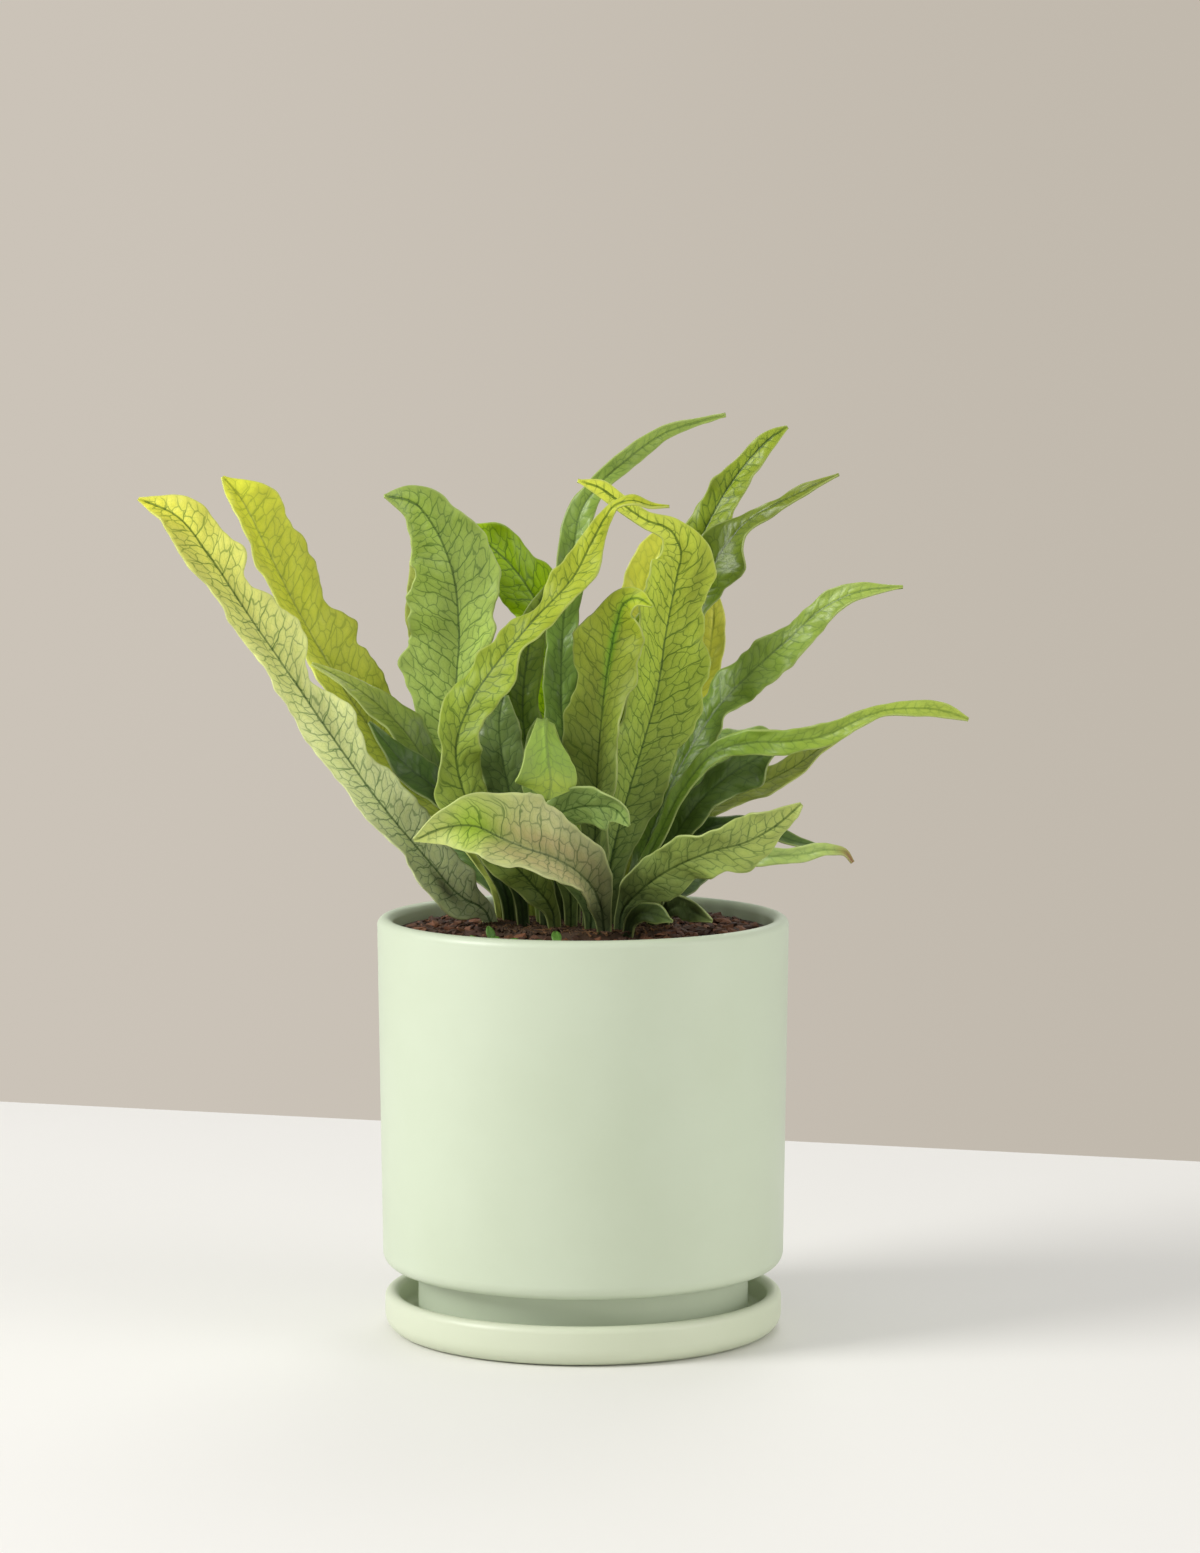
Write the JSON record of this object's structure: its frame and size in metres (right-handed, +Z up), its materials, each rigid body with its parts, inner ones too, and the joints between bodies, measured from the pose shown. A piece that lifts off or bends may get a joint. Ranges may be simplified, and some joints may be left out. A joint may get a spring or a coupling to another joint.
{
  "type": "potted crocodile fern",
  "caption": "Crocodile fern with long, wavy, net-veined fronds rising from a creeping rhizome in a round glazed pot that stands in its saucer.",
  "frame": {"origin": "centre of the saucer's flat underside, at the level that the part stands on", "axes": "+Z up, along the height of the plant; the front of the plant faces -Y, and +X is to its right"},
  "size_m": [0.3347, 0.2242, 0.3786],
  "materials": {
    "pot": "satin",
    "saucer": "satin",
    "soil": "matte",
    "rhizome": "matte",
    "blade_pale": "satin",
    "blade_mid": "satin",
    "blade_deep": "satin",
    "blade_dark": "satin",
    "blade_yellow": "satin"
  },
  "bodies": {
    "root": {"pot": "pot", "saucer": "saucer", "soil": "soil", "rhizome": "rhizome", "frond_far_left": "blade_pale", "frond_left_yellow": "blade_yellow", "frond_left_folded": "blade_mid", "frond_left_dark": "blade_dark", "frond_left_point": "blade_dark", "frond_tall_left": "blade_deep", "frond_yellow_left": "blade_yellow", "frond_behind_left": "blade_mid", "frond_front_curl": "blade_pale", "frond_tall_twist": "blade_deep", "frond_centre": "blade_pale", "frond_big_centre": "blade_pale", "frond_upper_right": "blade_mid", "frond_right_top": "blade_deep", "frond_yellow_back": "blade_yellow", "frond_yellow_right": "blade_yellow", "frond_right_broad": "blade_deep", "frond_right_long": "blade_mid", "frond_right_olive": "blade_yellow", "frond_right_dark": "blade_dark", "frond_low_right": "blade_pale", "frond_narrow_dark": "blade_dark", "frond_small_bright": "blade_mid", "frond_front_fold": "blade_pale", "frond_front_wave": "blade_mid", "frond_folded_tip": "blade_mid", "frond_grey_mid": "blade_deep", "frond_dark_mid": "blade_dark", "frond_olive_back": "blade_mid", "frond_soil_right": "blade_deep", "frond_soil_small": "blade_mid", "frond_rear_left": "blade_deep", "frond_rear_mid": "blade_mid", "frond_rear_right": "blade_deep", "frond_rear_low_left": "blade_dark", "frond_rear_low_right": "blade_dark"}
  },
  "joints": []
}
